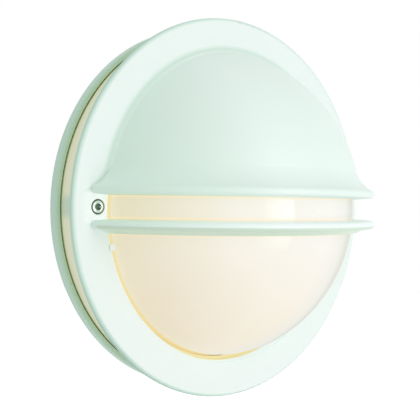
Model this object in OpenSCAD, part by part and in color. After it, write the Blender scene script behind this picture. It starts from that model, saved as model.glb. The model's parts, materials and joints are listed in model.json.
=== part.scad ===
// Round wall light: a cast front frame with a half hood over a warm opal glass dome.
// Millimetres. The wall face is y = 0, the light looks along -y, and +z is up.
// Depth means the distance from the wall, so a depth of 38 lies at y = -38.

/* [Front frame] */
// Diameter of the opening that the glass comes through
opening_d = 244; // [242:0.5:246]
// Width of the ring round the opening
ring_w = 28; // [24:0.5:38]
// Depth of the ring's front face
ring_front = 38; // [34:0.5:44]
// Thickness of the ring
ring_t = 4.5; // [4.4:0.1:6]
// Radius of the ring's outer front edge
ring_edge_r = 3.2; // [1.5:0.1:3.2]
// Radius of the ring's front edge round the opening
opening_edge_r = 1; // [0.5:0.1:2]
// Wall of the hood
hood_t = 3; // [2.2:0.1:3.6]
// Air between the front of the glass and the hood
hood_gap = 2.7; // [2:0.1:4]
// Radius of the fillet where the hood grows out of the ring
hood_fillet = 4.5; // [2:0.5:6]
// Wall of the collar that clamps the glass
collar_t = 2.5; // [1.8:0.1:3]

/* [Brow and lower bar] */
// Clear height of the slot between the brow and the lower bar
slot_h = 16.6; // [14:0.2:24]
// How far the tips of the two bars stand out from the glass
bar_reach = 16.9; // [15:0.1:18.4]
// Height of the rounded tip of each bar
nose_h = 6.2; // [5.6:0.1:7]
// How much each bar's side of the slot rises from the glass to the tip
bar_draft = 0.8; // [0.4:0.1:1.4]
// Height of the brow from its underside to the top of its hollow flare
flare_h = 23.2; // [19:0.2:26]
// Angle between the top of the flare and the vertical
flare_lean = 15; // [13:1:20]
// Thickness of the ledge that closes the hood's lower edge
ledge_t = 3.5; // [2.5:0.1:5]
// Height of the lower bar with its web
bar_h = 10.2; // [9:0.1:11]
// Thickness of the lower bar's web at its lower edge
web_t = 2.4; // [1.5:0.1:3]
// Angle between the lower edge's hollow and the vertical
web_lean = 55; // [45:1:58]
// Air between the bars' inner edges and the glass
bar_gap = 1.3; // [0.8:0.1:2]

/* [Glass] */
// Diameter of the glass dome at its widest
glass_d = 236.6; // [234:0.2:238]
// Depth of the widest part of the glass
glass_belt = 23.4; // [22.6:0.1:24.4]
// Radius of the glass's side curve
glass_side_r = 64.3; // [58:0.1:72]
// Depth of the dome's front
glass_apex = 119.1; // [114:0.1:126]
// Thickness of the glass
glass_t = 3.5; // [2.5:0.1:4]
// Thickness of the rim that the frame clamps
glass_rim_t = 4; // [3:0.1:4.5]
// How far the rim stands out from the dome
glass_rim_w = 4.6; // [4:0.1:4.6]

/* [Side light ring] */
// Distance of the opal ring's outside from the edge of the frame's opening
band_step = 20; // [18:0.1:20.5]
// Wall of the opal ring
band_t = 2.5; // [2:0.1:4]
// Depth of the shelf's top, where the glass rests
shelf_top = 17; // [15:0.2:17]
// Thickness of the shelf
shelf_t = 2; // [1.5:0.1:3]
// Width of the shelf under the rim of the glass
shelf_bearing = 8.5; // [7:0.5:12]

/* [Rear housing] */
// Wall of the housing's rim outside the opal ring
rim_wall = 3.4; // [3:0.1:4.5]
// Depth of the housing's rim
base_h = 8; // [7:0.5:11]
// Depth of the housing's floor
floor_front = 4; // [3:0.2:5]
// Depth of the hollow in the housing's back
back_hollow = 1; // [0.5:0.1:1.5]
// Radius of the housing's outer edge
base_edge_r = 1.5; // [0.5:0.1:1.8]
// Shadow gap between the housing's rim and the opal ring
band_gap = 0.6; // [0.3:0.1:1]
// Diameter of the circle of wall screws
wall_pcd = 180; // [170:1:190]
// Diameter of a wall screw hole
wall_hole_d = 5.5; // [4:0.1:7]

/* [Seals] */
// Thickness of the flat seals under and over the glass rim and under the opal ring
seal_t = 1.5; // [1:0.1:1.5]
// Width of the seals at the two edges of the opal ring
seal_w = 4.5; // [3:0.1:5]
// Thickness of the seal between the opal ring and the frame
frame_seal_t = 1; // [0.5:0.1:1.5]
// Depth of the wall seal
wall_seal_t = 1.6; // [1:0.1:2]
// Width of the wall seal
wall_seal_w = 2.4; // [1.6:0.1:2.8]

/* [Frame screws] */
// Distance of a frame screw's axis from the edge of the frame's opening
screw_step = 7.9; // [7.5:0.1:8.2]
// Thread diameter of a frame screw
screw_d = 6; // [5:0.1:6]
// Head diameter of a frame screw
screw_head_d = 10.5; // [9.5:0.1:11]
// Head height of a frame screw
screw_head_h = 3.3; // [2.6:0.1:3.6]
// Width across the flats of the hexagon socket
screw_socket = 4; // [3:0.1:4.5]
// Depth of the seat sunk in the ring for the head
screw_seat = 2; // [0.6:0.1:2.2]
// Diameter of a screw boss behind the ring
boss_d = 12; // [11.8:0.1:12.4]
// Outer diameter of a threaded insert
insert_d = 8; // [7.6:0.1:8.4]
// Length of a threaded insert
insert_l = 9; // [7:0.5:9]

/* [Lamp] */
// Depth of the bulb's axis
lamp_depth = 48; // [46:0.5:52]
// Height of the lampholder's mouth above the middle
holder_mouth = 38; // [34:0.5:40]
// Length of the lampholder
holder_l = 46; // [44:0.5:47]
// Diameter of the lampholder's mouth
holder_d = 39; // [37:0.5:40]
// Diameter of the bulb's cap
cap_d = 26.4; // [26:0.1:26.6]
// Diameter of the bulb
bulb_d = 60; // [55:0.5:65]
// Length of the bulb with its cap
bulb_l = 106; // [98:0.5:112]
// Thickness of the bracket's steel
bracket_t = 1.5; // [1:0.1:2]
// Width of the bracket
bracket_w = 30; // [26:0.5:34]

/* [Wiring] */
// Distance of the terminal block from the middle, to the right
block_x = 70; // [62:0.5:74]
// Distance of the terminal block below the middle
block_drop = 20; // [14:0.5:24]
// Spacing of the block's three poles
pole_gap = 10; // [9:0.1:11]
// Length of the terminal block along its leads
block_l = 22; // [20:0.5:24]
// Height of the terminal block off the floor
block_h = 14; // [12.5:0.5:15]
// Diameter of an insulated lead
lead_d = 2.4; // [2:0.1:2.6]
// Distance of the cable entry below the middle
entry_drop = 58; // [54:0.5:62]
// Diameter of the hole for the grommet
entry_d = 20; // [18:0.5:22]
// Diameter of the hole through the grommet
grommet_bore_d = 9; // [7:0.5:11]

/* [Hidden] */

// Clearances and overlaps, each named once
slip = 0.05; // round a shank that is threaded in or a piece that is pressed in
play = 0.3; // round a pin, screw or tongue that passes freely
lap = 0.5; // how far shapes of one solid run into each other
bite = 0.15; // how far the flare's edge sinks into the hood
hair = 0.002; // how much deeper a hollow is cut, so that its arc crosses the next one
end_room = 0.5; // left free beyond the tip of a screw

// Colours
white_lacquer = [0.90, 0.95, 0.92];
opal_warm = [0.96, 0.91, 0.80];
steel = [0.78, 0.79, 0.80];
brass = [0.80, 0.66, 0.36];
rubber = [0.16, 0.17, 0.16];
porcelain = [0.95, 0.94, 0.90];

// Curves of the glass. The side arc turns about the circle belt_r, the front arc about the lamp's axis, and
// they meet on the line through both centres. The front arc's radius is rounded to a
// thousandth, and its centre then follows from the side arc, so the two are tangent.
// The hood is a ball's skin about the centre of the front arc, and the bars turn about
// the upright line through that centre.
glass_r = glass_d / 2;
belt_r = glass_r - glass_side_r;
arc_top = glass_apex - glass_side_r;
front_reach = (belt_r * belt_r + (glass_belt - arc_top) ^ 2) / (2 * (arc_top - glass_belt));
front_r = round((front_reach + glass_side_r) * 1000) / 1000;
front_c = glass_belt - sqrt((front_r - glass_side_r) ^ 2 - belt_r * belt_r);
joint = [belt_r, glass_belt] * 3 - [0, front_c] * 2;
joint_turn = atan2(glass_belt - front_c, belt_r);

// Offsets from the front arc of the glass, and the heights of the bars over the middle
hood_out = hood_gap + hood_t;
hood_r = front_r + hood_out;
slot_z = slot_h / 2;
nose_r = nose_h / 2;
nose = [bar_reach - nose_r, slot_z + bar_draft + nose_r];
flare_z = slot_z + flare_h;
flare_end = [hood_out - sag(flare_z) - bite, flare_z];
web_end = [bar_gap + web_t, slot_z + bar_h];

// Ring, collar and opal ring
opening_r = opening_d / 2;
ring_r = opening_r + ring_w;
ring_d = 2 * ring_r;
ring_back = ring_front - ring_t;
back_edge_r = 1;
rim_bottom = shelf_top + seal_t;
rim_top = rim_bottom + glass_rim_t;
rim_r = glass_r + glass_rim_w;
collar_foot = rim_top + seal_t;
collar_r = opening_r + collar_t;
lip_gap = 1.5;
collar_lip_r = glass_r + lip_gap;
collar_lip_t = 1.5;
band_r = opening_r + band_step;
band_foot = floor_front + seal_t;
band_top = ring_back - frame_seal_t;
shelf_in = rim_r - shelf_bearing;
shelf_under = shelf_top - shelf_t;

// Housing
rim_in = band_r + band_gap;
base_r = rim_in + rim_wall;
land_w = 10;
land_r = base_r - land_w;
wall_seal_r = base_r - land_w / 2;
wall_angles = [30, 150, 270];
pad_margin = 10;
pillar_wall = 1.5;
pillar_d = insert_d + 2 * pillar_wall;
pocket_floor = shelf_under - insert_l;
boss_h = 3;

// Frame screws
screw_r = opening_r + screw_step;
seat_depth = ring_front - screw_seat;
seat_play = 0.2;
seat_d = screw_head_d + 2 * seat_play;
screw_hole_d = screw_d + 2 * play;
screw_tip = pocket_floor + end_room;
head_edge_h = 0.5;
socket_depth = 2;

// Glass pads: the angle and the depth of the front of each. Two carry the glass just
// below the bars' ends, and a short one stands under the hood.
pad_angle = 13.5;
pad_proud = 0.4;
pads = [[180 + pad_angle, ring_front + pad_proud], [-pad_angle, ring_front + pad_proud],
    [90, ring_back - lap]];
pad_w = 5;
pad_play = 0.2;
pad_in = glass_r + pad_play;
keyway = 1.4;
pad_out = opening_r + keyway;
pad_rise = 3.5;
pad_foot = collar_foot + pad_rise;

// Lamp
holder_top = holder_mouth + holder_l;
cap_shows = 2;
cap_foot = holder_mouth - cap_shows;
cap_l = 26;
cap_end = cap_foot + cap_l;
tip_h = 2;
shell_t = 0.7;
shell_in = cap_d / 2 + play;
shell_back = 1;
shoulder_w = 2.5;
cavity_r = shell_in + shell_t + slip;
contact_t = 1.2;
cavity_top = cap_end + tip_h + contact_t;
bulb_r = bulb_d / 2;
bulb_c = cap_end + tip_h - bulb_l + bulb_r;
neck_step = 0.8;
neck_r = cap_d / 2 + neck_step;
contact_r = 4;
neck = [neck_r, cap_foot - bulb_c];
neck_turn = atan2(neck[1], neck[0]) - acos(bulb_r / norm(neck));
lead_in_drop = 8;
lead_in_z = holder_top - lead_in_drop;
lead_in_x = 12;
lead_split = 4;

// Bracket
foot_depth = floor_front + boss_h;
foot_l = 22;
inner_bend_r = 1;
bend_r = bracket_t + inner_bend_r;
bracket_x = 9;
foot_screw_rise = 14;
bracket_z = holder_top + foot_screw_rise;
shelf_reach = 18;
shelf_end = lamp_depth + shelf_reach;

// Small screws: thread radius, head radius, head height
m4 = [2, 3.8, 2.6];
m3 = [1.5, 2.8, 2.2];
small_screw_l = 4;
driver_w = 0.8;
driver_depth = 1;
skin = 1.5;
pilot_floor = back_hollow + skin;

// Terminal block, earth point and cable entry
block_z = -block_drop;
block_front = floor_front + block_h;
lead_r = lead_d / 2;
bore_rise = 6.5;
lead_depth = floor_front + bore_rise;
well_r = 2;
well_z = block_l / 4;
well_depth = 6.2;
screw_sink = 1;
rib_gap = 1.6;
rib_w = pole_gap - rib_gap;
rib_h = 3;
block_body_h = block_h - rib_h;
block_screw_seat = block_front - rib_h;
earth = [-62, -34];
earth_boss_r = 5;
washer_t = 1;
lug_t = 0.8;
lug_rim = 0.6;
lug_depth = foot_depth + washer_t;
barrel_wall = 0.7;
barrel_depth = lug_depth + lead_r + barrel_wall;
barrel_x = 8;
barrel_l = 7;
entry_z = -entry_drop;
grommet_lip = 3;
grommet_nozzle = 4;
nozzle_wall = 1.4;
nozzle_foot = 2.4;
lip_taper = 0.8;

// Routes of the leads: how far each goes into its pole, the heights over that end and
// the places beside the holder and the lug at which it is pulled straight, and the
// points between them as distance to the right, height and depth
strip_l = 7;
pole_rise = [0, 18, 34];
holder_pull = [50, 32];
lug_pull = [38, 26];
live_bend = [72, 62, 16];
neutral_bend = [60, 68, 26];
earth_bends = [[25, 16, foot_depth], [-20, -20, foot_depth]];

// How far the hood's outside falls back at height z
function sag(z) = hood_r - sqrt(hood_r * hood_r - z * z);

// Radius of the hollow that leaves point e at an angle to the vertical and runs
// without a corner into the bars' rounded nose
function hollow_r(e, lean) = let (v = e - nose, n = [cos(lean), sin(lean)])
    (v * v - nose_r * nose_r) / (2 * (nose_r - v * n));

// A point at share t of a Bezier curve
function bezier(p, t) = len(p) == 1 ? p[0]
    : bezier([for (i = [0 : len(p) - 2]) p[i] * (1 - t) + p[i + 1] * t], t);

// Stand a shape that was drawn with its depth along +z on the wall
module on_wall() {
    rotate([90, 0, 0]) children();
}

// Turn an outline of radius and depth about the lamp's axis
module turned() {
    on_wall() rotate_extrude($fn = 240) children();
}

// A flat seal: a washer between two radii and two depths
module flat_seal(r_in, r_out, from, to) {
    color(rubber) turned() translate([r_in, from]) square([r_out - r_in, to - from]);
}

// A pan-head screw along +z with the underside of its head at the origin
module pan_screw(size, length) {
    translate([0, 0, -length]) cylinder(r = size[0] - slip, h = length + lap, $fn = 48);
    difference() {
        cylinder(r = size[1], h = size[2], $fn = 48);
        translate([0, 0, size[2] - driver_depth]) slot_cut(size[1]);
    }
}

// The screwdriver slot of a small screw
module slot_cut(r) {
    translate([-r, -driver_w / 2, 0]) cube([2 * r, driver_w, driver_depth + lap]);
}

// Move to the front arc's centre. The last digits come in a step of their own, because
// the two arcs meet without an edge only if the centre is true to a millionth.
module at_front_centre() {
    coarse = round(front_c * 1000) / 1000;
    translate([0, coarse]) translate([0, front_c - coarse]) children();
}

// The sector of radius and depth in which the glass follows its front arc
module front_sector() {
    polygon([[0, front_c], [belt_r, glass_belt], joint, [0, ring_d]]);
}

// The sector in which the glass follows its side arc
module side_sector() {
    polygon([[belt_r, glass_belt], [ring_d, glass_belt], joint]);
}

// Solid outline of the glass at an offset, from a depth forwards. A narrow bar inside
// it bridges the line where the two arcs meet.
module dome_outline(out, from) {
    intersection() {
        union() {
            intersection() {
                at_front_centre() circle(r = front_r + out, $fn = 360);
                front_sector();
            }
            intersection() {
                translate([belt_r, glass_belt]) circle(r = glass_side_r + out, $fn = 240);
                side_sector();
            }
            square([glass_r + out, glass_belt]);
            translate([belt_r, glass_belt]) rotate(joint_turn) translate([0, -lap / 2])
                square([glass_side_r + out - hair, lap]);
        }
        translate([0, from]) square(ring_d);
    }
}

// Outline of a wall that follows the glass between two offsets
module dome_wall(inner, outer, from) {
    difference() {
        dome_outline(outer, from);
        dome_outline(inner, from - lap);
    }
}

// Section of a bar: offset from the front arc against height over the slot's middle.
// The side of the slot rises a little to the tip, which is round, and a hollow leads
// from the tip to the point e. The outline's upper edge runs level through e, and the
// hollow cuts it there.
module bar_section(e, lean, inside) {
    r = hollow_r(e, lean);
    c = e + r * [cos(lean), sin(lean)];
    difference() {
        polygon(concat([[bar_gap, slot_z], [nose[0], slot_z + bar_draft + hair], nose, c,
            [c[0], e[1]]], inside));
        translate(c) circle(r = r + hair, $fn = 180);
    }
    translate(nose) circle(r = nose_r, $fn = 96);
}

// Turn a bar's section about the upright line through the front arc's centre
module round_the_front() {
    in_front_of(ring_back + lap) mirror([0, 1, 0]) at_front_centre()
        rotate_extrude($fn = 360) translate([front_r, 0]) children();
}

// Keep only what stands in front of a depth
module in_front_of(depth) {
    intersection() {
        children();
        translate([-ring_r, -2 * ring_r, -ring_r]) cube([ring_d, 2 * ring_r - depth, ring_d]);
    }
}

// The flat ring with its collar, before its holes
module ring_blank() {
    outer_x = ring_r - ring_edge_r;
    inner_x = opening_r + opening_edge_r;
    inner_top = ring_front - opening_edge_r;
    turned() {
        translate([inner_x, ring_back]) square([outer_x - inner_x, ring_t]);
        translate([opening_r, collar_foot]) square([collar_t, inner_top - collar_foot]);
        translate([collar_lip_r, collar_foot])
            square([collar_r - collar_lip_r, collar_lip_t]);
        translate([inner_x, inner_top]) mirror([1, 0]) quarter(opening_edge_r);
        translate([outer_x, ring_front - ring_edge_r]) quarter(ring_edge_r);
        translate([outer_x - lap, ring_back + back_edge_r])
            square([ring_edge_r + lap, ring_t - ring_edge_r - back_edge_r]);
        translate([outer_x - lap, ring_back])
            square([ring_edge_r + lap - back_edge_r, back_edge_r]);
        translate([ring_r - back_edge_r, ring_back + back_edge_r])
            mirror([0, 1]) quarter(back_edge_r);
    }
}

// A quarter of a disc, in the corner of x and y
module quarter(r) {
    intersection() {
        circle(r = r, $fn = 96);
        square(r);
    }
}

// Keep only what lies above a height
module above(z) {
    intersection() {
        children();
        translate([-ring_r, -ring_d, z]) cube([ring_d, ring_d, ring_d]);
    }
}

// Half hood: the upper half of a ball's skin, with a fillet to the ring
module hood() {
    fillet_depth = ring_front + hood_fillet - front_c;
    fillet_x = sqrt((hood_r + hood_fillet) ^ 2 - fillet_depth ^ 2);
    inside = [fillet_x, fillet_depth] * (hood_r - hood_t / 2) / (hood_r + hood_fillet);
    above(slot_z) turned() {
        intersection() {
            at_front_centre() difference() {
                circle(r = hood_r, $fn = 360);
                circle(r = hood_r - hood_t, $fn = 360);
            }
            translate([0, ring_back]) square(ring_d);
        }
        at_front_centre() difference() {
            polygon([[inside[0], ring_front - front_c - lap],
                [fillet_x, ring_front - front_c - lap], [fillet_x, fillet_depth], inside]);
            translate([fillet_x, fillet_depth]) circle(r = hood_fillet + hair, $fn = 96);
        }
    }
}

// Brow: a ledge in front of the glass that flares up into the hood
module brow() {
    wall_middle = hood_out - hood_t / 2;
    round_the_front() bar_section(flare_end, flare_lean,
        [[wall_middle - sag(flare_z), flare_z], [wall_middle, slot_z + ledge_t],
        [bar_gap, slot_z + ledge_t]]);
}

// Lower bar: like the brow upside down, with a short web in place of the hood
module lower_bar() {
    mirror([0, 0, 1]) round_the_front()
        bar_section(web_end, web_lean, [[bar_gap, web_end[1]]]);
}

// Place something at both frame screws, with depth along +z
module at_frame_screws() {
    on_wall() for (side = [-1, 1]) translate([side * screw_r, 0, 0]) children();
}

// Flat ring, collar, hood, brow, lower bar and screw bosses, cast in one piece
module front_frame() {
    color(white_lacquer) difference() {
        union() {
            ring_blank();
            hood();
            brow();
            lower_bar();
            at_frame_screws() translate([0, 0, shelf_top])
                cylinder(d = boss_d, h = ring_back - shelf_top + lap, $fn = 96);
        }
        at_frame_screws() {
            translate([0, 0, shelf_top - lap])
                cylinder(d = screw_hole_d, h = ring_front - shelf_top + 2 * lap, $fn = 96);
            translate([0, 0, seat_depth])
                cylinder(d = seat_d, h = screw_seat + lap, $fn = 96);
        }
        for (pad = pads) at_pad(pad) translate([pad_in, -pad_w / 2 - slip, 0])
            cube([pad_out - pad_in, pad_w + 2 * slip, pad[1] - pad_foot + slip]);
    }
}

// Place something at a glass pad, with the radius along +x and depth along +z
module at_pad(pad) {
    on_wall() rotate([0, 0, pad[0]]) translate([0, 0, pad_foot]) children();
}

// Soft pads that centre the glass, each set in a keyway in the collar
module glass_pads() {
    color(white_lacquer) for (pad = pads) at_pad(pad)
        linear_extrude(pad[1] - pad_foot) intersection() {
            translate([pad_in, -pad_w / 2]) square([pad_out - pad_in, pad_w]);
            union() {
                translate([pad_in + pad_w / 2, 0]) circle(d = pad_w, $fn = 48);
                translate([pad_in + pad_w / 2, -pad_w / 2]) square(pad_w);
            }
        }
}

// Dished housing with a rim round the opal ring, two pillars and bosses for the insides
module rear_housing() {
    color(white_lacquer) difference() {
        union() {
            turned() {
                translate([0, back_hollow]) square([base_r - lap, floor_front - back_hollow]);
                translate([land_r, 0]) square([land_w, base_h - base_edge_r]);
                translate([base_r - base_edge_r, base_h - base_edge_r])
                    circle(r = base_edge_r, $fn = 48);
                translate([rim_in, base_h - base_edge_r - lap])
                    square([base_r - base_edge_r - rim_in, base_edge_r + lap]);
            }
            at_frame_screws() translate([0, 0, floor_front - lap])
                cylinder(d = pillar_d, h = shelf_under - floor_front + lap, $fn = 96);
            on_wall() {
                for (x = [-bracket_x, bracket_x])
                    floor_boss([x, bracket_z]);
                floor_boss(earth);
                at_wall_screws() cylinder(d = wall_hole_d + pad_margin,
                    h = floor_front - lap, $fn = 96);
            }
        }
        turned() {
            translate([land_r - lap, floor_front])
                square([rim_in - land_r + lap, base_h]);
            translate([wall_seal_r - wall_seal_w / 2, -lap])
                square([wall_seal_w, wall_seal_t + lap]);
        }
        at_frame_screws() translate([0, 0, pocket_floor])
            cylinder(d = insert_d + 2 * slip, h = insert_l + lap, $fn = 96);
        on_wall() {
            at_wall_screws() translate([0, 0, -lap])
                cylinder(d = wall_hole_d, h = floor_front + 2 * lap, $fn = 96);
            translate([0, entry_z, -lap])
                cylinder(d = entry_d, h = floor_front + 2 * lap, $fn = 96);
            for (x = [-bracket_x, bracket_x])
                translate([x, bracket_z]) pilot_hole(m4[0], foot_depth);
            translate(earth) pilot_hole(m4[0], foot_depth);
            translate([block_x + pole_gap / 2, block_z]) pilot_hole(m3[0], floor_front);
        }
    }
}

// A boss on the floor that a small screw goes into
module floor_boss(place) {
    translate([place[0], place[1], floor_front - lap])
        cylinder(r = earth_boss_r, h = boss_h + lap, $fn = 96);
}

// A blind hole for a small screw, from a depth back into the floor
module pilot_hole(r, mouth) {
    translate([0, 0, pilot_floor]) cylinder(r = r, h = mouth - pilot_floor + lap, $fn = 48);
}

// Place something at each wall screw, on the wall face
module at_wall_screws() {
    for (a = wall_angles) rotate([0, 0, a]) translate([wall_pcd / 2, 0, 0]) children();
}

// Cord of sponge rubber that seals the housing against the wall
module wall_seal() {
    flat_seal(wall_seal_r - wall_seal_w / 2, wall_seal_r + wall_seal_w / 2, 0, wall_seal_t);
}

// Rubber grommet with a lip on each side of the floor and a short nozzle
module cable_grommet() {
    bore = grommet_bore_d / 2;
    neck_out = entry_d / 2;
    lip_out = neck_out + grommet_lip;
    lip_top = floor_front + grommet_lip / 2;
    color(rubber) on_wall() translate([0, entry_z, 0]) rotate_extrude($fn = 96)
        polygon([[bore, 0], [lip_out, 0], [lip_out, back_hollow], [neck_out, back_hollow],
            [neck_out, floor_front], [lip_out, floor_front], [lip_out - lip_taper, lip_top],
            [bore + nozzle_foot, lip_top], [bore + nozzle_wall, lip_top + grommet_nozzle],
            [bore, lip_top + grommet_nozzle]]);
}

// Seal under the opal ring
module base_seal() {
    flat_seal(band_r - seal_w, band_r, floor_front, band_foot);
}

// Opal ring that lights the wall sideways, with a shelf inside that carries the glass
module side_light_ring() {
    color(opal_warm) difference() {
        turned() {
            translate([band_r - band_t, band_foot]) square([band_t, band_top - band_foot]);
            translate([shelf_in, shelf_under]) square([band_r - shelf_in - lap, shelf_t]);
        }
        at_frame_screws() translate([0, 0, shelf_under - lap])
            cylinder(d = screw_hole_d, h = shelf_t + 2 * lap, $fn = 96);
    }
}

// Seal between the shelf and the rim of the glass
module lower_glass_seal() {
    flat_seal(shelf_in + lap, rim_r, shelf_top, rim_bottom);
}

// Blown opal glass dome with a thick rim at its foot
module glass_dome() {
    color(opal_warm) turned() {
        dome_wall(-glass_t, 0, rim_bottom);
        translate([glass_r - glass_t, rim_bottom])
            square([glass_t + glass_rim_w, glass_rim_t]);
    }
}

// Seal between the rim of the glass and the frame's collar
module upper_glass_seal() {
    flat_seal(collar_lip_r, rim_r, rim_top, collar_foot);
}

// Seal between the opal ring and the back of the frame
module frame_seal() {
    flat_seal(band_r - seal_w, band_r, band_top, ring_back);
}

// Button-head screw with a hexagon socket, through ring, boss and shelf
module frame_screw(side) {
    head_r = screw_head_d / 2;
    flat_r = head_r / 2;
    ball_z = (head_r ^ 2 + head_edge_h ^ 2 - flat_r ^ 2 - screw_head_h ^ 2)
        / (2 * (head_edge_h - screw_head_h));
    color(steel) on_wall() translate([side * screw_r, 0, seat_depth]) difference() {
        union() {
            intersection() {
                translate([0, 0, ball_z])
                    sphere(r = norm([head_r, head_edge_h - ball_z]), $fn = 96);
                cylinder(r = head_r, h = screw_head_h, $fn = 96);
            }
            translate([0, 0, screw_tip - seat_depth])
                cylinder(r = screw_d / 2 - slip, h = seat_depth - screw_tip + lap, $fn = 96);
        }
        translate([0, 0, screw_head_h - socket_depth])
            cylinder(d = screw_socket / cos(30), h = socket_depth + lap, $fn = 6);
    }
}

// Threaded brass inserts pressed into the pillars
module screw_inserts() {
    color(brass) at_frame_screws() translate([0, 0, pocket_floor]) difference() {
        cylinder(d = insert_d, h = insert_l, $fn = 96);
        translate([0, 0, -lap]) cylinder(d = screw_d, h = insert_l + 2 * lap, $fn = 96);
    }
}

// Extrude an outline of depth and height sideways, centred on the lamp
module sideways(width) {
    rotate([90, 0, -90]) translate([0, 0, -width / 2]) linear_extrude(width) children();
}

// Steel bracket, bent once: its foot on the floor, its shelf over the lampholder
module lamp_bracket() {
    color(steel) difference() {
        sideways(bracket_w) {
            translate([foot_depth + bend_r, holder_top])
                square([shelf_end - foot_depth - bend_r, bracket_t]);
            translate([foot_depth, holder_top + bend_r])
                square([bracket_t, foot_l - bend_r]);
            translate([foot_depth + bend_r, holder_top + bend_r]) difference() {
                circle(r = bend_r, $fn = 96);
                circle(r = bend_r - bracket_t, $fn = 96);
                translate([0, -bend_r]) square(2 * bend_r);
                translate([-bend_r, 0]) square(2 * bend_r);
            }
        }
        on_wall() for (x = [-bracket_x, bracket_x])
            translate([x, bracket_z, 0]) cylinder(r = m4[0] + play, h = 4 * foot_depth, $fn = 48);
        for (x = [-bracket_x, bracket_x])
            translate([x, -lamp_depth, holder_top - lap])
                cylinder(r = m4[0] + play, h = bracket_t + 2 * lap, $fn = 48);
    }
}

// Screws that hold the bracket's foot to the housing
module bracket_screws() {
    color(steel) on_wall() for (x = [-bracket_x, bracket_x])
        translate([x, bracket_z, foot_depth + bracket_t])
            pan_screw(m4, bracket_t + small_screw_l);
}

// Stand a piece on the bulb's upright axis
module on_lamp_axis() {
    translate([0, -lamp_depth, 0]) children();
}

// Porcelain lampholder, open at the bottom, with two side holes for the leads
module lampholder() {
    shoulder = cap_end + tip_h;
    top_r = holder_d / 2 - shoulder_w;
    color(porcelain) on_lamp_axis() difference() {
        rotate_extrude($fn = 180) difference() {
            polygon([[0, holder_mouth], [holder_d / 2, holder_mouth],
                [holder_d / 2, shoulder - shoulder_w], [top_r, shoulder],
                [top_r, holder_top],
                [0, holder_top]]);
            translate([0, holder_mouth - lap])
                square([cavity_r, cavity_top - holder_mouth + lap]);
        }
        for (x = [-bracket_x, bracket_x])
            translate([x, 0, holder_top - small_screw_l - lap])
                cylinder(r = m4[0], h = small_screw_l + 2 * lap, $fn = 48);
        for (side = [-1, 1]) translate([lead_in_x, side * lead_split, lead_in_z])
            rotate([0, 90, 0]) cylinder(r = lead_r + play, h = holder_d / 2, $fn = 48);
    }
}

// Nickel-plated screw shell inside the lampholder
module screw_shell() {
    color(steel) on_lamp_axis() rotate_extrude($fn = 180)
        translate([shell_in, holder_mouth + shell_back])
            square([shell_t, cavity_top - holder_mouth - shell_back]);
}

// Spring contact at the bottom of the lampholder
module centre_contact() {
    color(brass) on_lamp_axis() translate([0, 0, cap_end + tip_h])
        cylinder(r = contact_r, h = contact_t, $fn = 96);
}

// Screws that hold the lampholder under the bracket
module holder_screws() {
    color(steel) on_lamp_axis() for (x = [-bracket_x, bracket_x])
        translate([x, 0, holder_top + bracket_t]) pan_screw(m4, bracket_t + small_screw_l);
}

// Frosted bulb with its screw cap, hanging with its cap up
module bulb() {
    color(opal_warm) on_lamp_axis() {
        translate([0, 0, bulb_c]) rotate_extrude($fn = 180) {
            intersection() {
                circle(r = bulb_r, $fn = 180);
                translate([0, -bulb_r]) square([bulb_r, bulb_d]);
            }
            polygon([[0, 0], (bulb_r - hair) * [cos(neck_turn), sin(neck_turn)], neck,
                [0, neck[1]]]);
        }
        translate([0, 0, cap_foot - lap]) cylinder(d = cap_d, h = cap_l + lap, $fn = 180);
        translate([0, 0, cap_end - lap])
            cylinder(r1 = cap_d / 2 - tip_h, r2 = cap_d / 4, h = tip_h + lap, $fn = 96);
    }
}

// Place something at each pole of the terminal block, on the floor
module at_poles() {
    on_wall() for (p = [-1, 0, 1])
        translate([block_x + p * pole_gap, block_z, floor_front]) children();
}

// Moulded block with three ribs, each with a lead bore and two screw wells
module terminal_block() {
    color(white_lacquer) difference() {
        union() {
            on_wall() translate([block_x - 1.5 * pole_gap, block_z - block_l / 2, floor_front])
                cube([3 * pole_gap, block_l, block_body_h]);
            at_poles() translate([-rib_w / 2, -block_l / 2, block_body_h - lap])
                cube([rib_w, block_l, rib_h + lap]);
        }
        at_poles() {
            translate([0, block_l / 2 + lap, bore_rise])
                rotate([90, 0, 0]) cylinder(r = lead_r + play, h = block_l + 2 * lap, $fn = 48);
            for (side = [-1, 1]) translate([0, side * well_z, block_h - well_depth])
                cylinder(r = well_r, h = well_depth + lap, $fn = 48);
        }
        on_wall() translate([block_x + pole_gap / 2, block_z, 0]) {
            translate([0, 0, floor_front - lap])
                cylinder(r = m3[0] + play, h = block_h, $fn = 48);
            translate([0, 0, block_screw_seat])
                cylinder(r = m3[1] + play, h = block_h, $fn = 48);
        }
    }
}

// Clamping screws of the terminal block, one for each well
module terminal_screws() {
    color(steel) at_poles() for (side = [-1, 1])
        translate([0, side * well_z, block_h - well_depth]) difference() {
            cylinder(r = well_r - slip, h = well_depth - screw_sink, $fn = 48);
            translate([0, 0, well_depth - screw_sink - driver_depth]) slot_cut(well_r);
        }
}

// Screw that holds the terminal block to the floor
module block_screw() {
    color(steel) on_wall() translate([block_x + pole_gap / 2, block_z, block_screw_seat])
        pan_screw(m3, block_screw_seat - pilot_floor - play);
}

// Washer under the earth lead's lug
module earth_washer() {
    color(brass) on_wall() translate([earth[0], earth[1], foot_depth]) difference() {
        cylinder(r = earth_boss_r, h = washer_t, $fn = 96);
        translate([0, 0, -lap]) cylinder(r = m4[0] + play, h = washer_t + 2 * lap, $fn = 48);
    }
}

// Screw that clamps the earth lead to the housing
module earth_screw() {
    color(brass) on_wall() translate([earth[0], earth[1], lug_depth + lug_t])
        pan_screw(m4, washer_t + lug_t + small_screw_l);
}

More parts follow.
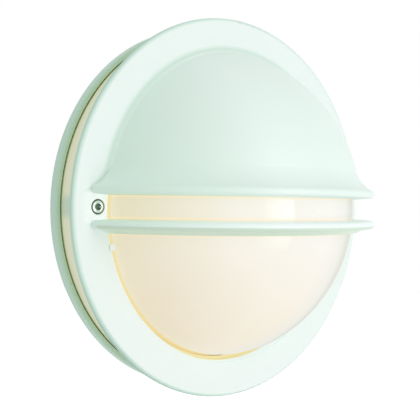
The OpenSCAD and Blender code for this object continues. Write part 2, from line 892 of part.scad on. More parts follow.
// An insulated lead along a smooth route of a few chosen points
module lead(route) {
    steps = 28;
    sides = 8;
    pts = [for (i = [0 : steps]) bezier(route, i / steps)];
    rings = [for (i = [0 : steps])
        let (along = pts[min(i + 1, steps)] - pts[max(i - 1, 0)],
            a = cross(along, [0, 1, 0]) / norm(cross(along, [0, 1, 0])),
            b = cross(along, a) / norm(cross(along, a)))
        for (k = [0 : sides - 1])
            pts[i] + lead_r * (a * cos(k * 360 / sides) + b * sin(k * 360 / sides))];
    walls = [for (i = [0 : steps - 1], k = [0 : sides - 1])
        let (n = (k + 1) % sides)
        [i * sides + k, i * sides + n, (i + 1) * sides + n, (i + 1) * sides + k]];
    polyhedron(rings, concat([[for (k = [sides - 1 : -1 : 0]) k]], walls,
        [[for (k = [0 : sides - 1]) steps * sides + k]]));
}

// A point given by its place on the wall and its depth
function at(x, z, depth) = [x, -depth, z];

// A point of a route given as a list
function between(bend) = at(bend[0], bend[1], bend[2]);

// Where a lead leaves a pole of the block: its end, and two points that pull it straight up
function pole_exit(p) = [for (rise = pole_rise)
    at(block_x + p * pole_gap, block_z + block_l / 2 - strip_l + rise, lead_depth)];

// Where a lead enters the lampholder: points that pull it straight, and its end
function holder_entry(depth) = [for (x = concat(holder_pull, lead_in_x + lap))
    at(x, lead_in_z, depth)];

// Lead from the right pole to the lampholder
module live_lead() {
    color([0.45, 0.28, 0.18])
        lead(concat(pole_exit(1), [between(live_bend)], holder_entry(lamp_depth - lead_split)));
}

// Lead from the middle pole to the lampholder
module neutral_lead() {
    color([0.25, 0.42, 0.65])
        lead(concat(pole_exit(0), [between(neutral_bend)],
            holder_entry(lamp_depth + lead_split)));
}

// Lead from the left pole, behind the bulb, to the lug at the earth point
module earth_lead() {
    color([0.55, 0.68, 0.30])
        lead(concat(pole_exit(-1), [for (bend = earth_bends) between(bend)],
            [for (x = concat(lug_pull, barrel_x + lap))
                at(earth[0] + x, earth[1], barrel_depth)]));
}

// Tinned ring lug, with a barrel that is crimped on the earth lead
module earth_lug() {
    barrel_r = barrel_depth - lug_depth;
    lug_r = earth_boss_r - lug_rim;
    color(steel) on_wall() translate([earth[0], earth[1], lug_depth]) difference() {
        union() {
            cylinder(r = lug_r, h = lug_t, $fn = 96);
            translate([0, -barrel_r, 0]) cube([barrel_x + lap, 2 * barrel_r, lug_t]);
            translate([barrel_x, 0, barrel_r]) rotate([0, 90, 0])
                cylinder(r = barrel_r, h = barrel_l, $fn = 48);
        }
        translate([0, 0, -lap]) cylinder(r = m4[0] + play, h = lug_t + 2 * lap, $fn = 48);
        translate([barrel_x, 0, barrel_r]) rotate([0, 90, 0])
            cylinder(r = lead_r + play, h = barrel_l + lap, $fn = 48);
    }
}

rear_housing();
wall_seal();
cable_grommet();
base_seal();
side_light_ring();
lower_glass_seal();
glass_dome();
upper_glass_seal();
frame_seal();
front_frame();
frame_screw(-1);  // frame_screw_left
frame_screw(1);  // frame_screw_right
screw_inserts();
glass_pads();
lamp_bracket();
bracket_screws();
lampholder();
screw_shell();
centre_contact();
holder_screws();
bulb();
terminal_block();
terminal_screws();
block_screw();
earth_screw();
earth_washer();
live_lead();
neutral_lead();
earth_lead();
earth_lug();
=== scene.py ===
# %% [markdown]
# A round wall light
#
# The light is a cast ring in pale mint-white lacquer with a half hood, a brow and a lower
# bar over a lit opal glass dome. The solids come ready made from the frame, at their real
# size. This script gives them their finishes and sets up a plain studio round them.

# %% Load the solids
import json
import math

import bpy
from mathutils import Matrix, Vector

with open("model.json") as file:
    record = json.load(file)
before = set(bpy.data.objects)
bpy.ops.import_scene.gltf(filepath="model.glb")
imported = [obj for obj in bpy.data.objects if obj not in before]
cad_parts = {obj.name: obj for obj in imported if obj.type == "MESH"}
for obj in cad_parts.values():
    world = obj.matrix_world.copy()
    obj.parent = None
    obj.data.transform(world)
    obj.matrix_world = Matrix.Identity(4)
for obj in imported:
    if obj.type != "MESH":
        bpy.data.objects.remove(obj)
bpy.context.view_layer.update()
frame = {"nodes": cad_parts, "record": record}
scene = bpy.context.scene
scene.view_settings.view_transform = "Standard"

# %% [markdown]
# The camera
#
# The picture was taken from the left of the light, at the height of its middle and quite
# near. The camera is placed by the two angles from which it looks, its small roll, and its
# distance from the point that it looks at. The lens follows from how many pixels wide a
# thing as large as its own distance would show.

# %% Camera
MM = 0.001
PHOTO_WIDTH = 420
FOCAL_PIXELS = 750
SENSOR = 36
round_left = math.radians(40.41)
raised = math.radians(0.48)
roll = math.radians(0.77)
distance = 575.4 * MM
aim = Vector((-32.87, -42.86, -1.66)) * MM

back = Vector((-math.sin(round_left) * math.cos(raised),
               -math.cos(round_left) * math.cos(raised), math.sin(raised)))
level = Vector((0, 0, 1)).cross(back).normalized()
upward = back.cross(level)
right = math.cos(roll) * level + math.sin(roll) * upward
up = math.cos(roll) * upward - math.sin(roll) * level

bpy.ops.object.select_all(action="DESELECT")
bpy.ops.object.camera_add()
camera = bpy.context.object
camera.name = "camera"
camera.matrix_world = (Matrix.Translation(aim + distance * back)
                       @ Matrix((right, up, back)).transposed().to_4x4())
camera.data.sensor_width = SENSOR
camera.data.lens = SENSOR * FOCAL_PIXELS / PHOTO_WIDTH
scene.camera = camera
print("camera at", [round(v, 4) for v in camera.location])

# %% [markdown]
# Shader arithmetic
#
# A finish is mostly arithmetic: a mask is a difference times a slope, cut off at 0 and 1.
# Written as nodes that is long, so one small class wraps a socket, and the usual operators
# add the Math nodes.


# %% Sockets that can be added and multiplied
class Wire:
    """An output socket of a shader node."""

    def __init__(self, graph, socket):
        self.graph = graph
        self.socket = socket

    def math(self, operation, *values, clamp=False):
        settings = {"operation": operation, "use_clamp": clamp}
        return self.graph.node("ShaderNodeMath", settings, dict(enumerate(values)))

    def __add__(self, other):
        return self.math("ADD", self, other)

    def __sub__(self, other):
        return self.math("SUBTRACT", self, other)

    def __rsub__(self, other):
        return self.math("SUBTRACT", other, self)

    def __mul__(self, other):
        return self.math("MULTIPLY", self, other)

    def __pow__(self, other):
        return self.math("POWER", self, other)

    def __or__(self, other):
        """The larger of the two, which joins masks."""
        return self.math("MAXIMUM", self, other)

    __radd__ = __add__
    __rmul__ = __mul__

    def size(self):
        """The value without its sign."""
        return self.math("ABSOLUTE", self)

    def between(self, low, high):
        """Rises from 0 to 1 as the value goes from low to high."""
        return self.math("MULTIPLY", self - low, 1 / (high - low), clamp=True)


# %% [markdown]
# Trees of nodes
#
# A finish can be put together by hand in the Shader Editor, or in Python, where it can be
# read and changed like a recipe. One method adds any node, sets it up and joins its inputs.
# Colours go through a Mix node, because a Math node turns a colour grey. The last method
# parts what the camera sees from the light that falls on a surface.

# %% Node trees
MIX_SHARE, MIX_FIRST, MIX_SECOND, MIX_COLOUR_OUT = 0, 6, 7, 2


class Graph:
    """A tree of shader nodes."""

    def __init__(self, tree):
        self.tree = tree

    def node(self, kind, settings=None, values=None, out=0):
        made = self.tree.nodes.new(kind)
        for name, value in (settings or {}).items():
            setattr(made, name, value)
        for socket, value in (values or {}).items():
            self.join(made.inputs[socket], value)
        return Wire(self, made.outputs[out])

    def join(self, socket, value):
        if isinstance(value, Wire):
            self.tree.links.new(value.socket, socket)
        else:
            socket.default_value = value

    def mix(self, share, first, second):
        colours = [(*c, 1) if isinstance(c, tuple) and len(c) == 3 else c
                   for c in (first, second)]
        return self.node("ShaderNodeMix", {"data_type": "RGBA"},
                         {MIX_SHARE: share, MIX_FIRST: colours[0], MIX_SECOND: colours[1]},
                         out=MIX_COLOUR_OUT)

    def seen_plainly(self):
        """1 for the camera, in gloss and through glass, and 0 for light on a surface."""
        camera_ray, glossy_ray, glass_ray = [
            self.node("ShaderNodeLightPath", out=ray)
            for ray in ("Is Camera Ray", "Is Glossy Ray", "Is Transmission Ray")]
        return camera_ray | glossy_ray | glass_ray


# %% [markdown]
# A finish
#
# A material adds its Principled shader to a tree, and short words for a place on the
# surface, a noise and a bump. The place is read in Object coordinates: the solids keep their
# places in their meshes, so these are true metres from the middle of the wall face, without
# any unwrapping. Each finish is filed under the slot that it dresses.


# %% Finishes
class Finish(Graph):
    """A material: a Principled shader and the nodes that feed it."""

    def __init__(self, name, **values):
        self.material = bpy.data.materials.new(name)
        self.material.use_nodes = True
        super().__init__(self.material.node_tree)
        self.shader = self.tree.nodes["Principled BSDF"]
        for socket, value in values.items():
            self.set(socket.replace("_", " "), value)

    def set(self, socket, value):
        if isinstance(value, tuple) and len(value) == 3:
            value = (*value, 1)
        self.join(self.shader.inputs[socket], value)

    def place(self):
        """The surface's own place, as three wires in metres."""
        self.spot = self.node("ShaderNodeTexCoord", out="Object")
        return [self.node("ShaderNodeSeparateXYZ", None, {0: self.spot}, out=axis)
                for axis in ("X", "Y", "Z")]

    def noise(self, scale, detail=2, stretch=(1, 1, 1)):
        mapped = self.node("ShaderNodeMapping", None,
                           {"Vector": self.spot, "Scale": stretch})
        return self.node("ShaderNodeTexNoise", None,
                         {"Vector": mapped, "Scale": scale, "Detail": detail})

    def bump(self, height, depth):
        """Raise the surface by height times depth, in metres."""
        self.set("Normal", self.node("ShaderNodeBump", None,
                                     {"Strength": 1.0, "Distance": depth, "Height": height}))


finishes = {}


def keep(slot, finish):
    """File a finish under the slot that it dresses."""
    finishes[slot] = finish.material
    print(slot, "finish:", len(finish.tree.nodes), "nodes")


# %% [markdown]
# The lacquer
#
# The castings carry a thick satin lacquer in a white with a touch of mint. Light that has
# bounced about in a hollow takes on more of the mint, so the flat face looks the palest,
# the hood a little greener, the ring's side and the underside of the bars the greenest.
# That shade is painted into the tone, which follows the place on the frame: the depth from
# the wall, the height, and the distance from the lamp's axis. Up close such a coat is never
# quite even: it has a fine orange-peel, and its tone and gloss drift a little over a
# hand's width.
#
# Some small zones stand apart. The glass lights its collar, the face between the bars and
# the bars' edges. The hood's foot runs out over the face in a soft curve, and the shade of
# that curve is painted a few millimetres further out than its metal.

# %% Places on the frame
RING_FRONT = 38 * MM
OPENING_R = 122 * MM
SCREW_X = 129.9 * MM


def mm(*values):
    """Millimetres as a list in metres."""
    return [value * MM for value in values]


def distance_from(x, z, centre=0.0):
    """How far a place is from an axis out of the wall, centre to either side of the middle."""
    across = x.size() - centre
    return (across * across + z * z) ** 0.5


def band(value, low, high, soft):
    """1 between low and high, and 0 outside of them, with a soft step at both ends."""
    return value.between(low - soft, low) * value.between(high + soft, high)


print("ring's face", RING_FRONT / MM, "mm from the wall, opening", 2 * OPENING_R / MM, "mm")

# %% [markdown]
# From the wall to the ring's face
#
# Each colour is the coat's tone in one zone with that zone's shade painted in: the housing's
# side, its rim under the ring, and the ring's side and edge, which are darker toward the
# bottom and a little toward the top. The coat could be one plain colour, with the rest left
# to the light, but the greenish depth of its hollows comes from light that bounces many
# times between coated walls. A chain of Mix nodes goes from the wall outward, and each pair
# of places says where the next tone sets in and where it is full.

# %% Tones of the housing and the ring
MINT_BASE_SHADED = (0.54, 0.76, 0.62)
MINT_RIM_SHADED = (0.60, 0.82, 0.66)
RIM_OLIVE_SHADE = (0.67, 0.85, 0.58)
MINT_SIDE_SHADED = (0.52, 0.78, 0.65)
MINT_SIDE_LOW_SHADED = (0.36, 0.56, 0.47)
MINT_EDGE_SHADED = (0.75, 0.95, 0.845)
MINT_EDGE_LOW_SHADED = (0.60, 0.80, 0.70)
MINT_FACE = (0.84, 0.915, 0.89)
NOTCH_PAINTED_SHADOW = (0.50, 0.68, 0.46)

OLIVE_RADII = mm(144.6, 143.2)
RIM_RADII, RIM_DEPTHS = mm(145.9, 145.3), mm(6, 7)
SIDE_DEPTHS, EDGE_DEPTHS, FACE_DEPTHS = mm(24, 28), mm(35.4, 37.3), mm(37.6, 38)
LOW_HEIGHTS, HIGH_HEIGHTS = mm(-45, -105), mm(45, 105)
HIGH_SHARE = 0.5
NOTCH_RADII, NOTCH_DEPTHS = mm(124.2, 123.7), mm(37, 37.5)
NOTCH_BAND = mm(-30.3, -27, 0.3)


def ring_tone(finish, depth, z, radius):
    """The lacquer's colour on the housing and the ring, with each zone's shade painted in."""
    # Painted shade: the housing's side and rim, the ring's side and edge, darker at the ends.
    rim = finish.mix(radius.between(*OLIVE_RADII), MINT_RIM_SHADED, RIM_OLIVE_SHADE)
    base = finish.mix(radius.between(*RIM_RADII) * depth.between(*RIM_DEPTHS), MINT_BASE_SHADED, rim)
    ends = z.between(*LOW_HEIGHTS) | HIGH_SHARE * z.between(*HIGH_HEIGHTS)
    side = finish.mix(ends, MINT_SIDE_SHADED, MINT_SIDE_LOW_SHADED)
    edge = finish.mix(ends, MINT_EDGE_SHADED, MINT_EDGE_LOW_SHADED)
    tone = finish.mix(depth.between(*SIDE_DEPTHS), base, side)
    tone = finish.mix(depth.between(*EDGE_DEPTHS), tone, edge)
    tone = finish.mix(depth.between(*FACE_DEPTHS), tone, MINT_FACE)
    # A painted shadow where the pad's notch cuts into the collar's edge.
    notch_shadow = radius.between(*NOTCH_RADII) * band(z, *NOTCH_BAND)
    return finish.mix(notch_shadow * depth.between(*NOTCH_DEPTHS), tone, NOTCH_PAINTED_SHADOW)


print("side, edge and face are full at depths",
      SIDE_DEPTHS[1], EDGE_DEPTHS[1], FACE_DEPTHS[1], "m")

# %% [markdown]
# The hood and the bars
#
# The hood goes from green at the left to almost white at the right, a shade painted into its
# tone. Near the brow its foot runs out over the ring's face in a soft curve, whose shade is
# painted as well: the lower the place, the further out the foot's shade reaches. The bars
# have a pale front, a darker crease and a green underside, shade painted into their tone. A
# mask painted in an image could hold such zones as well, but one that is worked out from the
# place stays sharp however near the camera comes.

# %% Tones of the hood and the bars
FOOT_PAINTED_SHADE = (0.63, 0.79, 0.70)
HOOD_LEFT_SHADING = (0.79, 0.97, 0.865)
HOOD_MIDDLE_SHADING = (0.84, 0.97, 0.91)
HOOD_RIGHT_SHADING = (0.80, 0.92, 0.87)
NOSE_PAINTED_SHADE = (0.65, 0.80, 0.66)
UNDER_PAINTED_SHADE = (0.70, 0.86, 0.70)

HOOD_LEFT_TO_MIDDLE, HOOD_MIDDLE_TO_RIGHT = mm(-105, -50), mm(-40, 10)
HOOD_DEPTHS, BAR_DEPTHS = mm(38.05, 39.5), mm(41, 44)
FOOT_TOP, FOOT_SPREAD = 29 * MM, 40
FOOT_RADII, FOOT_HEIGHTS, FOOT_DEPTHS = mm(129.3, 125.8), mm(9, 13), mm(37.7, 37.9)
UNDER_BAND = mm(-19.5, -12.9, 0.5)
CREASE_HEIGHTS = mm(-14.5, -16)


def casting_tone(finish, x, depth, z, radius):
    """The lacquer's colour with its painted shade, from the wall out to the bars."""
    tone = ring_tone(finish, depth, z, radius)
    # Painted shade of the hood's foot, reaching further out the lower the place.
    below = (FOOT_TOP - z) | 0
    foot = ((radius - FOOT_SPREAD * below * below).between(*FOOT_RADII)
            * z.between(*FOOT_HEIGHTS) * depth.between(*FOOT_DEPTHS))
    tone = finish.mix(foot, tone, FOOT_PAINTED_SHADE)
    # The hood's tone carries painted shade, greener at the left.
    hood = finish.mix(x.between(*HOOD_LEFT_TO_MIDDLE), HOOD_LEFT_SHADING, HOOD_MIDDLE_SHADING)
    hood = finish.mix(x.between(*HOOD_MIDDLE_TO_RIGHT), hood, HOOD_RIGHT_SHADING)
    tone = finish.mix(depth.between(*HOOD_DEPTHS), tone, hood)
    # Painted shade on the bars' crease and underside.
    under = finish.mix(z.between(*CREASE_HEIGHTS), NOSE_PAINTED_SHADE, UNDER_PAINTED_SHADE)
    return finish.mix(depth.between(*BAR_DEPTHS) * band(z, *UNDER_BAND), tone, under)


print("hood full at depth", HOOD_DEPTHS[1], "m, underside between heights", UNDER_BAND[:2])

# %% [markdown]
# The light that the glass throws on it
#
# The glass's glow is a finish, so it lights its neighbours only weakly. The narrow collar
# round it glows golden on the real light, its lip and the face between the bars are lifted
# to the tone of the face, and the bars' lit edges shine a little. A faint emission on those
# zones gives that light back.

# %% Light of the glass on the lacquer
COLLAR_GOLD_LIGHT = (0.82, 0.78, 0.56)
COLLAR_GLOW = (0.12, 0.12, 0.07)
LIP_GLOW = (0.45, 0.42, 0.53)
FACE_GLOW = (0.22, 0.20, 0.22)
BAR_GLOW = (0.07, 0.04, 0.07)
NO_GLOW = (0, 0, 0)

COLLAR_WALL = (OPENING_R + 1.0 * MM, OPENING_R + 0.6 * MM)
COLLAR_BAND, COLLAR_END = mm(22, 30.4, 0.5), mm(60, 52)
LIP_START, LIP_END = mm(30.4, 30.9), mm(38.1, 36.5)
LIT_FACE_BAND, LIT_FACE_RADII = mm(-10, 10, 2), mm(143, 129)
LIT_FACE_DEPTHS = mm(37.2, 38.3, 0.3)
LIT_BAR_BAND, LIT_BAR_DEPTHS = mm(-12.6, -7, 0.5), mm(60, 110)


def casting_light(finish, x, depth, z, radius):
    """The share of golden light in the collar, and the glow of all the lit places."""
    wall = radius.between(*COLLAR_WALL)
    collar = wall * band(depth, *COLLAR_BAND) * x.between(*COLLAR_END)
    lip = wall * depth.between(*LIP_START) * depth.between(*LIP_END)
    face = (band(z, *LIT_FACE_BAND) * radius.between(*LIT_FACE_RADII)
            * band(depth, *LIT_FACE_DEPTHS))
    bars = band(z, *LIT_BAR_BAND) * depth.between(*LIT_BAR_DEPTHS)
    light = finish.mix(face, NO_GLOW, FACE_GLOW)
    light = finish.mix(lip, light, LIP_GLOW)
    light = finish.mix(bars, light, BAR_GLOW)
    return collar, finish.mix(collar, light, COLLAR_GLOW)


print("golden collar between depths", COLLAR_BAND[:2])

# %% [markdown]
# The coat
#
# A satin coat is an ordinary shader of middling roughness. A soft noise lets its tone and
# gloss drift, and a fine one is the orange-peel of a sprayed and baked coat. A picture of
# real paint would need the solid unwrapped first, and its seams would show on a round form.

# %% Lacquer
MINT_DEEP = (0.66, 0.84, 0.72)
DRIFT_SCALE, DRIFT_SHARE = 9, 0.14
PEEL_SCALE = 900
FINE_BUMP = 0.01 * MM
SATIN, SATIN_DRIFT = 0.36, 0.1


def lacquer(name):
    finish = Finish(name, Specular_IOR_Level=0.4, Emission_Strength=1.0)
    x, y, z = finish.place()
    depth = y * -1
    radius = distance_from(x, z)
    drift = finish.noise(DRIFT_SCALE, detail=3)
    collar, light = casting_light(finish, x, depth, z, radius)
    # The tone carries each zone's painted shade.
    tone = finish.mix(DRIFT_SHARE * drift, casting_tone(finish, x, depth, z, radius), MINT_DEEP)
    # The collar's golden base colour is painted light from the glass.
    finish.set("Base Color", finish.mix(collar, tone, COLLAR_GOLD_LIGHT))
    finish.set("Emission Color", light)
    finish.set("Roughness", SATIN + SATIN_DRIFT * drift)
    finish.bump(finish.noise(PEEL_SCALE, detail=1), FINE_BUMP)
    return finish


keep("lacquer", lacquer("lacquer_finish"))

# %% [markdown]
# The lit glass
#
# Opal glass scatters the bulb's light until the whole dome glows. A glow that follows the
# place on the dome does that without the cost of tracing light through milky glass: creamy
# at the left and toward the bottom, almost white at the right, where the whiter glow also
# stands in for the studio light that falls there. Where the dome turns away at the far right
# a weaker glow is painted in as its shade, and the glow comes back on the far side.

# %% Glow of the glass
GLOW_LEFT = (0.585, 0.52, 0.335)
GLOW_MIDDLE = (0.65, 0.615, 0.52)
GLOW_FRONT = (0.64, 0.62, 0.56)
GLOW_LOW_LEFT = (0.57, 0.47, 0.28)
GLOW_LOW_RIGHT = (0.63, 0.57, 0.43)
GLOW_FAR_SHADE = (0.56, 0.56, 0.50)
GLOW_LIMB_SHADE = (0.46, 0.47, 0.385)

GLASS_LEFT_TO_MIDDLE, GLASS_MIDDLE_TO_FRONT = mm(-115, -60), mm(-50, 15)
GLASS_LOW_ACROSS, GLASS_LOW_HEIGHTS = mm(-90, -30), mm(-20, -95)
LEFT_SHARE, FRONT_SHARE = 0.79, 0.61
FAR_PLACES, LIMB_START, LIMB_END = mm(55, 22), mm(29, 16), mm(-4, 11)


def dome_glow(finish, x, depth, z):
    """The glow of the dome's body by the place on it, with painted shade at the far right."""
    body = finish.mix(x.between(*GLASS_LEFT_TO_MIDDLE), GLOW_LEFT, GLOW_MIDDLE)
    body = finish.mix(x.between(*GLASS_MIDDLE_TO_FRONT), body, GLOW_FRONT)
    low = finish.mix(x.between(*GLASS_LOW_ACROSS), GLOW_LOW_LEFT, GLOW_LOW_RIGHT)
    body = finish.mix(z.between(*GLASS_LOW_HEIGHTS), body, low)
    # Painted shade where the dome turns away at the far right, deepest in a narrow band.
    near = FRONT_SHARE * depth - LEFT_SHARE * x
    body = finish.mix(near.between(*FAR_PLACES), body, GLOW_FAR_SHADE)
    return finish.mix(near.between(*LIMB_START) * near.between(*LIMB_END), body, GLOW_LIMB_SHADE)


print("glow from", GLOW_LEFT, "at the left to", GLOW_FRONT, "in front")

# %% [markdown]
# Its warm lines and its gloss
#
# The cast sides of the bars send the light back on the glass next to them, a little warmer.
# The foot of the dome, deep in the collar, is golden. The gloss is a clear coat: full only
# on the front of the dome, where the soft box shows in it, and faded out toward the foot,
# where the real glass is frosted. Roughness alone would not hold the highlight to the front.

# %% Opal glass
GLASS_DIM, GLASS_PALE = (0.30, 0.30, 0.31), (0.34, 0.34, 0.35)
GLASS_CLOUD_SCALE, GLASS_SATIN, GLASS_DRIFT = 14, 0.35, 0.1
BULB_STRENGTH = 1.5
GLOW_RIM = (0.62, 0.47, 0.18)
GLOW_BARS = (0.80, 0.57, 0.26)

WARM_TOP, WARM_BAND = mm(6.7, 7.3), mm(-20.1, -6.9, 0.5)
WARM_ACROSS, WARM_DOWN = mm(75, 0), mm(-25, -12)
WARM_LEAST, WARM_MORE = 0.2, 0.25
RIM_LEAN, GLASS_RIM_DEPTHS = 0.02, mm(34.6, 33.9)
GLOSS_LEFT, GLOSS_RIGHT, GLOSS_DOWN = mm(-47, -30), mm(25, 5), mm(-32, -14)


def opal_glass(name, strength=1.0):
    finish = Finish(name, Specular_IOR_Level=0.0, Coat_Roughness=0.05, Coat_IOR=1.5,
                    Emission_Strength=strength)
    x, y, z = finish.place()
    depth = y * -1
    cloud = finish.noise(GLASS_CLOUD_SCALE, detail=3)
    finish.set("Base Color", finish.mix(cloud, GLASS_DIM, GLASS_PALE))
    warm = z.between(*WARM_TOP) | band(z, *WARM_BAND)
    warm = warm * (WARM_LEAST + WARM_MORE * x.between(*WARM_ACROSS)) * z.between(*WARM_DOWN)
    body = finish.mix(warm, dome_glow(finish, x, depth, z), GLOW_BARS)
    rim = (depth - RIM_LEAN * z).between(*GLASS_RIM_DEPTHS)
    finish.set("Emission Color", finish.mix(rim, body, GLOW_RIM))
    finish.set("Roughness", GLASS_SATIN + GLASS_DRIFT * cloud)
    finish.set("Coat Weight",
               x.between(*GLOSS_LEFT) * x.between(*GLOSS_RIGHT) * z.between(*GLOSS_DOWN))
    return finish


keep("opal_glass", opal_glass("opal_glass_finish"))
keep("bulb_glass", opal_glass("bulb_glass_finish", BULB_STRENGTH))

# %% [markdown]
# The opal ring
#
# The ring behind the frame is milky plastic. It lets a little of the lamp's light out
# sideways, except at nine and three o'clock, where a pillar with the frame's screw stands
# behind it and takes the glow away. Toward the housing it ends in a dark gap, whose shade is
# painted on the ring's edge there. Light traced through milky plastic is slow and noisy, so a
# faint glow that leaves out the pillars stands in for it.

# %% Opal ring
RING_PLASTIC = (0.66, 0.80, 0.62)
RING_PLASTIC_PALE = (0.70, 0.82, 0.66)
RING_GAP_SHADE = (0.42, 0.50, 0.22)
RING_GLOW = (0.16, 0.085, 0.035)
GAP_DEPTHS, LIT_DEPTHS, PILLAR_HEIGHTS = mm(9.6, 9), mm(9, 10), mm(4.5, 10)
RING_CLOUD_SCALE, RING_PEEL_SCALE = 22, 500


def opal_ring(name):
    finish = Finish(name, Roughness=0.4, Emission_Strength=1.0)
    x, y, z = finish.place()
    depth = y * -1
    cloud = finish.noise(RING_CLOUD_SCALE, detail=2)
    body = finish.mix(cloud, RING_PLASTIC, RING_PLASTIC_PALE)
    # The ring's edge by the housing is painted dark as the gap's shade.
    finish.set("Base Color", finish.mix(depth.between(*GAP_DEPTHS), body, RING_GAP_SHADE))
    lit = z.size().between(*PILLAR_HEIGHTS) * depth.between(*LIT_DEPTHS)
    finish.set("Emission Color", finish.mix(lit, NO_GLOW, RING_GLOW))
    finish.bump(finish.noise(RING_PEEL_SCALE, detail=1), FINE_BUMP)
    return finish


keep("opal_plastic", opal_ring("opal_ring_finish"))

# %% [markdown]
# Plain metals
#
# The bracket and the small screws are zinc-plated steel, the holder's shell and the earth
# lug are nickel-plated, and the inserts and the earth screw are plain brass. One recipe with
# three colours does for them all: a fine grain, drawn out along the depth, darkens the metal
# and breaks its gloss. Without a grain, small pressed parts would look chromed.

# %% Metals
GRAIN_SCALE, DRAWN_OUT = 700, (1, 0.05, 1)
METAL_SHADE, METAL_DRIFT = 0.86, 0.12


def metal(name, colour, roughness):
    finish = Finish(name, Metallic=1.0)
    finish.place()
    grain = finish.noise(GRAIN_SCALE, detail=2, stretch=DRAWN_OUT)
    dark = tuple(METAL_SHADE * c for c in colour)
    finish.set("Base Color", finish.mix(grain, dark, colour))
    finish.set("Roughness", roughness - METAL_DRIFT / 2 + METAL_DRIFT * grain)
    finish.bump(grain, FINE_BUMP)
    return finish


keep("zinc_steel", metal("zinc_finish", (0.62, 0.65, 0.68), roughness=0.35))
keep("nickel", metal("nickel_finish", (0.72, 0.69, 0.63), roughness=0.2))
keep("brass", metal("brass_finish", (0.80, 0.60, 0.28), roughness=0.3))

# %% [markdown]
# Rubber
#
# The seals and the cable's inlet are black rubber, and the pads are white. Rubber is matt,
# and a dry bloom lies on it in patches, which a noise with many octaves gives. In one even
# tone it would look like plastic.

# %% Seals and pads
BLOOM_SCALE, BLOOM_BUMP = 160, 0.03 * MM
BLOOM_PALER, BLOOM_LIFT = 1.25, 0.01
RUBBER_MATT, RUBBER_DRIFT = 0.62, 0.2


def rubber(name, colour):
    finish = Finish(name, Specular_IOR_Level=0.3)
    finish.place()
    bloom = finish.noise(BLOOM_SCALE, detail=4)
    pale = tuple(min(1, c * BLOOM_PALER + BLOOM_LIFT) for c in colour)
    finish.set("Base Color", finish.mix(bloom, colour, pale))
    finish.set("Roughness", RUBBER_MATT + RUBBER_DRIFT * bloom)
    finish.bump(bloom, BLOOM_BUMP)
    return finish


keep("seal_rubber", rubber("seal_rubber_finish", (0.035, 0.038, 0.036)))
keep("white_rubber", rubber("white_rubber_finish", (0.80, 0.84, 0.80)))

# %% [markdown]
# Plastic and porcelain
#
# The terminal block, the leads' covers and the porcelain lampholder differ in colour and
# gloss only, and all have the faint grain of a moulded surface. So one recipe takes a colour
# and a roughness, instead of a material made by hand for each.

# %% Mouldings
MOULD_SCALE, MOULD_SHADE, MOULD_DRIFT = 300, 0.93, 0.1


def plastic(name, colour, roughness):
    finish = Finish(name)
    finish.place()
    grain = finish.noise(MOULD_SCALE, detail=3)
    dark = tuple(MOULD_SHADE * c for c in colour)
    finish.set("Base Color", finish.mix(grain, dark, colour))
    finish.set("Roughness", roughness - MOULD_DRIFT / 2 + MOULD_DRIFT * grain)
    finish.bump(grain, FINE_BUMP)
    return finish


keep("porcelain", plastic("porcelain_finish", (0.88, 0.86, 0.80), roughness=0.15))
keep("white_plastic", plastic("white_plastic_finish", (0.82, 0.82, 0.78), roughness=0.45))
for lead, colour in (("lead_brown", (0.16, 0.07, 0.03)), ("lead_blue", (0.05, 0.14, 0.38)),
                     ("lead_green", (0.28, 0.42, 0.06))):
    keep(lead, plastic(lead + "_finish", colour, roughness=0.4))

# %% [markdown]
# The frame's screws
#
# A stainless button head is bright on top. Its rounded rim turns away and mirrors the dark
# seat, and the hexagon socket is a deep shade. A dark tone by the distance from the screw's
# own axis paints both, the rim's reflection and the socket's shade, however small the head is
# in the picture. Seen from the side, the socket's far wall is what shows, so its painted shade
# is moved a little outward.

# %% Screw steel
HEAD_BRIGHT = (0.93, 0.95, 0.94)
HEAD_SHADE_AND_REFLECTION = (0.07, 0.17, 0.08)
SOCKET_SHIFT = 0.6 * MM
HEAD_EDGE, SOCKET_EDGE = mm(4.1, 4.4), mm(2.7, 2.4)
HEAD_POLISH, HEAD_DRIFT = 0.3, 0.1


def screw_steel(name):
    finish = Finish(name)
    x, y, z = finish.place()
    radius = distance_from(x, z, SCREW_X)
    grain = finish.noise(GRAIN_SCALE, detail=2)
    socket = distance_from(x, z, SCREW_X + SOCKET_SHIFT)
    # Painted reflection on the head's rim and painted shade in its socket.
    dark = radius.between(*HEAD_EDGE) | socket.between(*SOCKET_EDGE)
    finish.set("Base Color", finish.mix(dark, HEAD_BRIGHT, HEAD_SHADE_AND_REFLECTION))
    finish.set("Metallic", 1 - dark)
    finish.set("Roughness", HEAD_POLISH + HEAD_DRIFT * grain)
    finish.bump(grain, FINE_BUMP)
    return finish


keep("stainless", screw_steel("stainless_finish"))

# %% [markdown]
# Dress every solid
#
# Each solid's object has one material slot. The slot's name in the frame's record says
# what the piece is made of, so the filed finishes dress them all. A list of pieces and
# finishes kept here would do too, but it could drift away from the record.

# %% Give each solid its finish
slot_of = {s["node"]: s["material_slot"] for s in frame["record"]["subparts"]}
for name, node in frame["nodes"].items():
    node.data.materials.clear()
    node.data.materials.append(finishes[slot_of[name]])
print("dressed", len(slot_of), "pieces")

# %% [markdown]
# The studio
#
# The picture has a pure white ground and soft light. The world gives an even level all
# round. To the camera, in gloss and through glass it is plain white, by Light Path, so the
# ground is white without more light on the object.

# %% World
AMBIENT = 0.72
WHITE = (1, 1, 1)
world = bpy.data.worlds.new("studio")
scene.world = world
world.use_nodes = True
sky = Graph(world.node_tree)
background = world.node_tree.nodes["Background"]
sky.join(background.inputs["Strength"], AMBIENT + (1 - AMBIENT) * sky.seen_plainly())
sky.join(background.inputs["Color"], (*WHITE, 1))
print("even light of", AMBIENT)

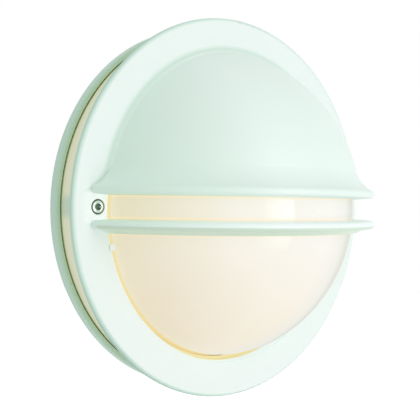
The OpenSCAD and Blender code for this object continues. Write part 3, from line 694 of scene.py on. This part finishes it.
# %% [markdown]
# The floor
#
# The floor lies far below the light, so it keeps the light's shadow without a line in the
# picture. It is a pale matt sheet, and to the camera it glows up to white, as the ground
# does, and throws no more light on the object.

# %% Floor
FLOOR_SIZE, FLOOR_BELOW = 8, 600 * MM
FLOOR_DIM, FLOOR_PALE, FLOOR_CLOUD_SCALE = (0.85, 0.85, 0.85), (0.88, 0.88, 0.88), 3

floor_finish = Finish("floor_finish", Roughness=0.9, Specular_IOR_Level=0.0,
                      Emission_Strength=0.6)
floor_finish.place()
floor_finish.set("Base Color",
                 floor_finish.mix(floor_finish.noise(FLOOR_CLOUD_SCALE),
                                  FLOOR_DIM, FLOOR_PALE))
floor_finish.set("Emission Color",
                 floor_finish.mix(floor_finish.seen_plainly(), NO_GLOW, WHITE))
bpy.ops.object.select_all(action="DESELECT")
bpy.ops.mesh.primitive_plane_add(size=FLOOR_SIZE, location=(0, 0, -FLOOR_BELOW))
floor = bpy.context.object
floor.name = "studio_floor"
floor.data.materials.append(floor_finish.material)
print("floor", FLOOR_BELOW, "m below the middle")

# %% [markdown]
# The soft box
#
# A lamp behind white cloth gives the broad highlight on the glass. Another world colour in
# that direction would do too, but a lamp is easier to turn and to size. It stands in front,
# a little to the right, where the dome mirrors it toward the camera.

# %% Soft box
BOX_TURN = math.radians(14.5)
BOX_DISTANCE, BOX_RAISED = 1.2, 0.1
BOX_WIDTH, BOX_HEIGHT = 0.5, 1.3
BOX_POWER = 5.0
bpy.ops.object.select_all(action="DESELECT")
bpy.ops.object.light_add(type="AREA",
                         location=(BOX_DISTANCE * math.sin(BOX_TURN),
                                   -BOX_DISTANCE * math.cos(BOX_TURN), BOX_RAISED))
soft_box = bpy.context.object
soft_box.name = "soft_box"
soft_box.data.shape = "RECTANGLE"
soft_box.data.size, soft_box.data.size_y = BOX_WIDTH, BOX_HEIGHT
soft_box.data.energy = BOX_POWER
soft_box.rotation_euler = (math.radians(90), 0, BOX_TURN)
print("soft box at", [round(v, 2) for v in soft_box.location])
